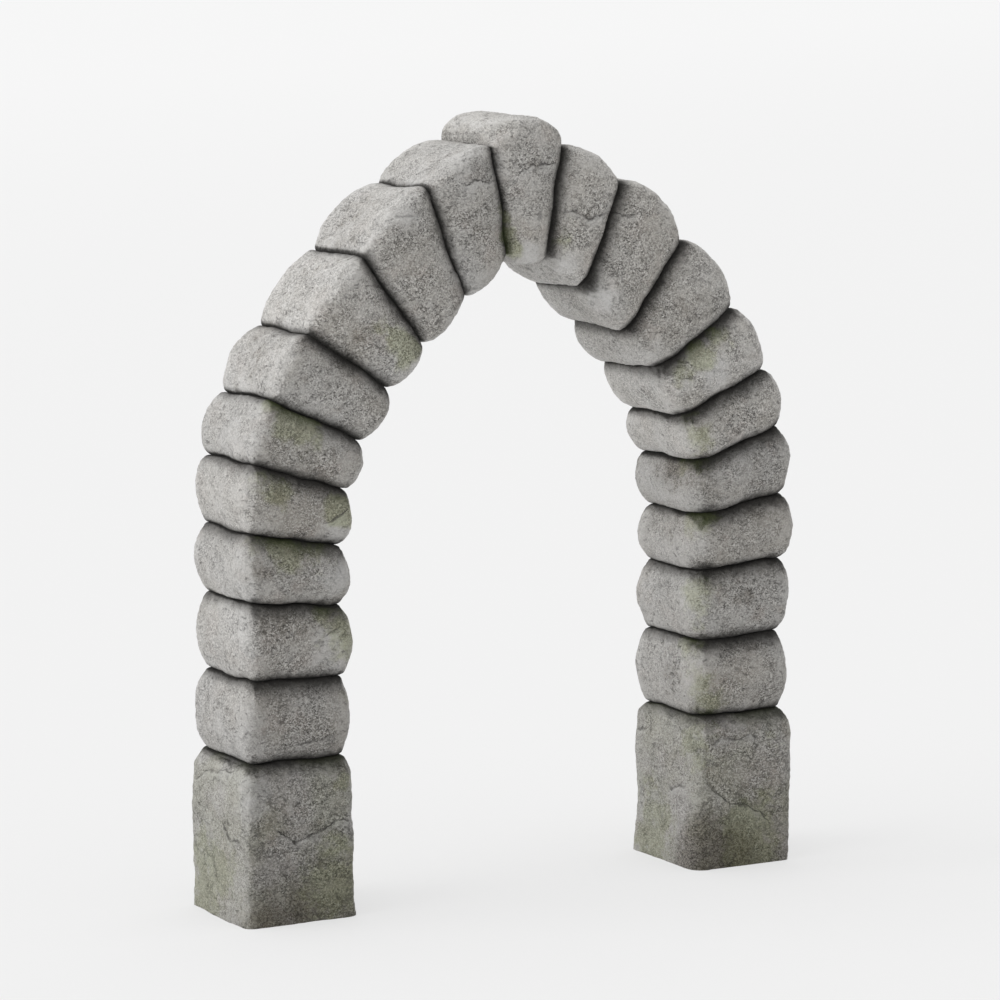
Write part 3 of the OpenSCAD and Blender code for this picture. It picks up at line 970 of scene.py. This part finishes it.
def shade_and_dirt_at_joints(f, colour, mossy, moss, sideways):
    """Painted shade and dirt washed down below the joint above, and painted shade and black dirt in the
    joints themselves.
    """
    ragged = f.wander(JOINT_RAGGED, size=0.030, detail=4, roughness=0.65)
    # the painted shade and dirt reach less far on the faces out of and into the arch
    narrower_sideways = f.between(sideways, 0.1, 0.9, 1.0, 1.6)
    upper, lower = (f.maths("ADD", f.times(f.measure(bed), narrower_sideways), ragged)
                    for bed in ("from_upper_bed", "from_lower_bed"))
    # painted shade: the darkening by the joints stands in for the shade that falls between the stones,
    # along with their dirt
    joint = f.between(upper, *UPPER_JOINT, 1.0, 0.0)
    if not mossy:
        joint = f.maths("MAXIMUM", joint, f.between(lower, *LOWER_JOINT, 1.0, 0.0))
    colour = f.lay(colour, "shade_and_dirt_below_joint", f.between(upper, *SHADE_BELOW_JOINT, 1.0, 0.0))
    shade_and_grime = f.blend(moss, JOINT_SHADE_AND_GRIME, MOSSY_JOINT_SHADE_AND_GRIME)
    # the painted shade is lighter on the faces out of and into the arch, where more light falls
    return f.blend(f.times(joint, f.between(sideways, 0.1, 0.9, 0.95, 0.66)), colour, shade_and_grime)


def dirty_foot(f, colour, moss, sideways, height_up):
    """Damp and darker towards the ground, and splashed with mud at the foot of the fronts."""
    colour = f.lay(colour, "damp", f.between(height_up, *DAMP_UP, 1.0, 0.0))
    reach = f.maths("ADD", height_up, f.times(f.noise(size=0.12, detail=3), SPLASH_RAGGED))
    splashes = f.times(f.between(reach, *SPLASHED_UP, 1.0, 0.0), f.rest_of(sideways),
                       f.rest_of(f.times(moss, 0.6)))
    return f.lay(colour, "splashes", splashes)


def raise_skin(f, parts):
    """Fine relief, from each part of the skin and the level at which it stands."""
    height = 0.0
    for part, level in parts:
        height = f.maths("ADD", height, f.times(part, level))
    bump = f.add("ShaderNodeBump")
    f.feed(bump.inputs["Height"], height)
    f.feed(bump.inputs["Distance"], RELIEF_DEPTH)
    f.feed(bump.inputs["Strength"], 1.0)
    f.feed(f.shader.inputs["Normal"], bump.outputs["Normal"])


def stone_finish(name):
    """The finish of one slot: mossy_stone on the base blocks, weathered_stone on the rest."""
    f = Finish(name)
    mossy = name == "mossy_stone"
    skin = SKINS[name]
    apart = f.add("ShaderNodeSeparateXYZ")
    f.feed(apart.inputs["Vector"], f.place)
    height_up = apart.outputs["Z"]
    sideways = f.between(f.measure("sideways"), 0.25, 0.9)
    cracks, ledges = crack_lines(f)
    bleached, muddy = stained_patches(f)
    worn, rough = skin_of_stone(f, skin["smooth"], sideways, ledges, bleached, muddy)
    colour = bare_stone(f, sideways, height_up)
    colour = f.lay(colour, "blotches", f.times(f.pattern("blotches"), rough))
    # close grain of lights and darks
    (speckle_size, speckle_share), (grain_size, grain_share) = GRAIN_MIX
    grain = f.maths("ADD", f.times(f.noise(size=speckle_size, detail=3, roughness=0.75), speckle_share),
                    f.times(f.grains(grain_size), grain_share))
    colour = f.lay(colour, "light_grains", f.times(f.between(grain, *LIGHT_GRAIN), rough))
    colour = f.lay(colour, "dark_grains", f.times(f.between(grain, *DARK_GRAIN), rough))
    # small dark pits that run level with the bedding, and clusters of larger chips
    pits = f.times(f.pattern("pits"), f.between(rough, 0.2, 0.9))
    chips = f.times(f.pattern("chips"), f.pattern("chip_clusters"))
    colour = f.lay(f.lay(colour, "pits", pits), "chips", chips)
    # pale worn arrises, the ledges below cracks painted lighter as a painted highlight where they face
    # up into the light, bleached patches, and dark muddy ones
    pale = f.between(height_up, *BASE_ARRIS_UP, *BASE_ARRIS_PALE) if mossy else ARRIS_PALE
    colour = f.blend(f.times(worn, pale), colour, WORN_STONE)
    colour = f.lay(f.lay(colour, "ledges", ledges), "bleached", bleached)
    colour = f.lay(colour, "mud", muddy, "MULTIPLY")
    colour = f.scale(colour, f.measure("tone"))
    # what has grown, broken and settled on the stone
    moss = moss_thickness(f, mossy)
    colour = grow_moss(f, colour, moss, skin["green"], sideways)
    relief_parts = {"unevenness": f.noise(size=0.030, detail=5, roughness=0.66),
                    "grain": f.times(grain, rough)}
    if mossy:
        flake_edges, relief_parts["flakes"] = flaked_skin(f, sideways)
        colour = f.lay(colour, "flake_edges", flake_edges)
    cracks = f.maths("MAXIMUM", cracks, f.times(hairlines(f), HAIRLINE_STRENGTH))
    colour = f.lay(colour, "cracks", cracks)
    colour = shade_and_dirt_at_joints(f, colour, mossy, moss, sideways)
    colour = dirty_foot(f, colour, moss, sideways, height_up)
    f.feed(f.shader.inputs["Base Color"], colour)
    f.feed(f.shader.inputs["Roughness"], STONE_ROUGHNESS)
    f.feed(f.shader.inputs["Specular IOR Level"], STONE_SPECULAR)
    relief_parts.update(pits=pits, chips=chips, cracks=cracks, ledges=ledges)
    levels = dict(RELIEF_LEVELS, grain=skin["grain"])
    raise_skin(f, [(part, levels[kind]) for kind, part in relief_parts.items()])
    return f.material


# ------------------------ the arch

place_camera()
light_studio()
lay_floor()

slots = {part["node"]: part["material_slot"] for part in frame["record"]["subparts"]}
finishes = {slot: stone_finish(slot) for slot in sorted(set(slots.values()))}
for node in sorted(frame["nodes"]):
    piece = dress(node)
    piece.data.materials.clear()
    piece.data.materials.append(finishes[slots[node]])
    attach(piece, "root")
    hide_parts(node)
    print(node, len(piece.data.polygons), "faces")
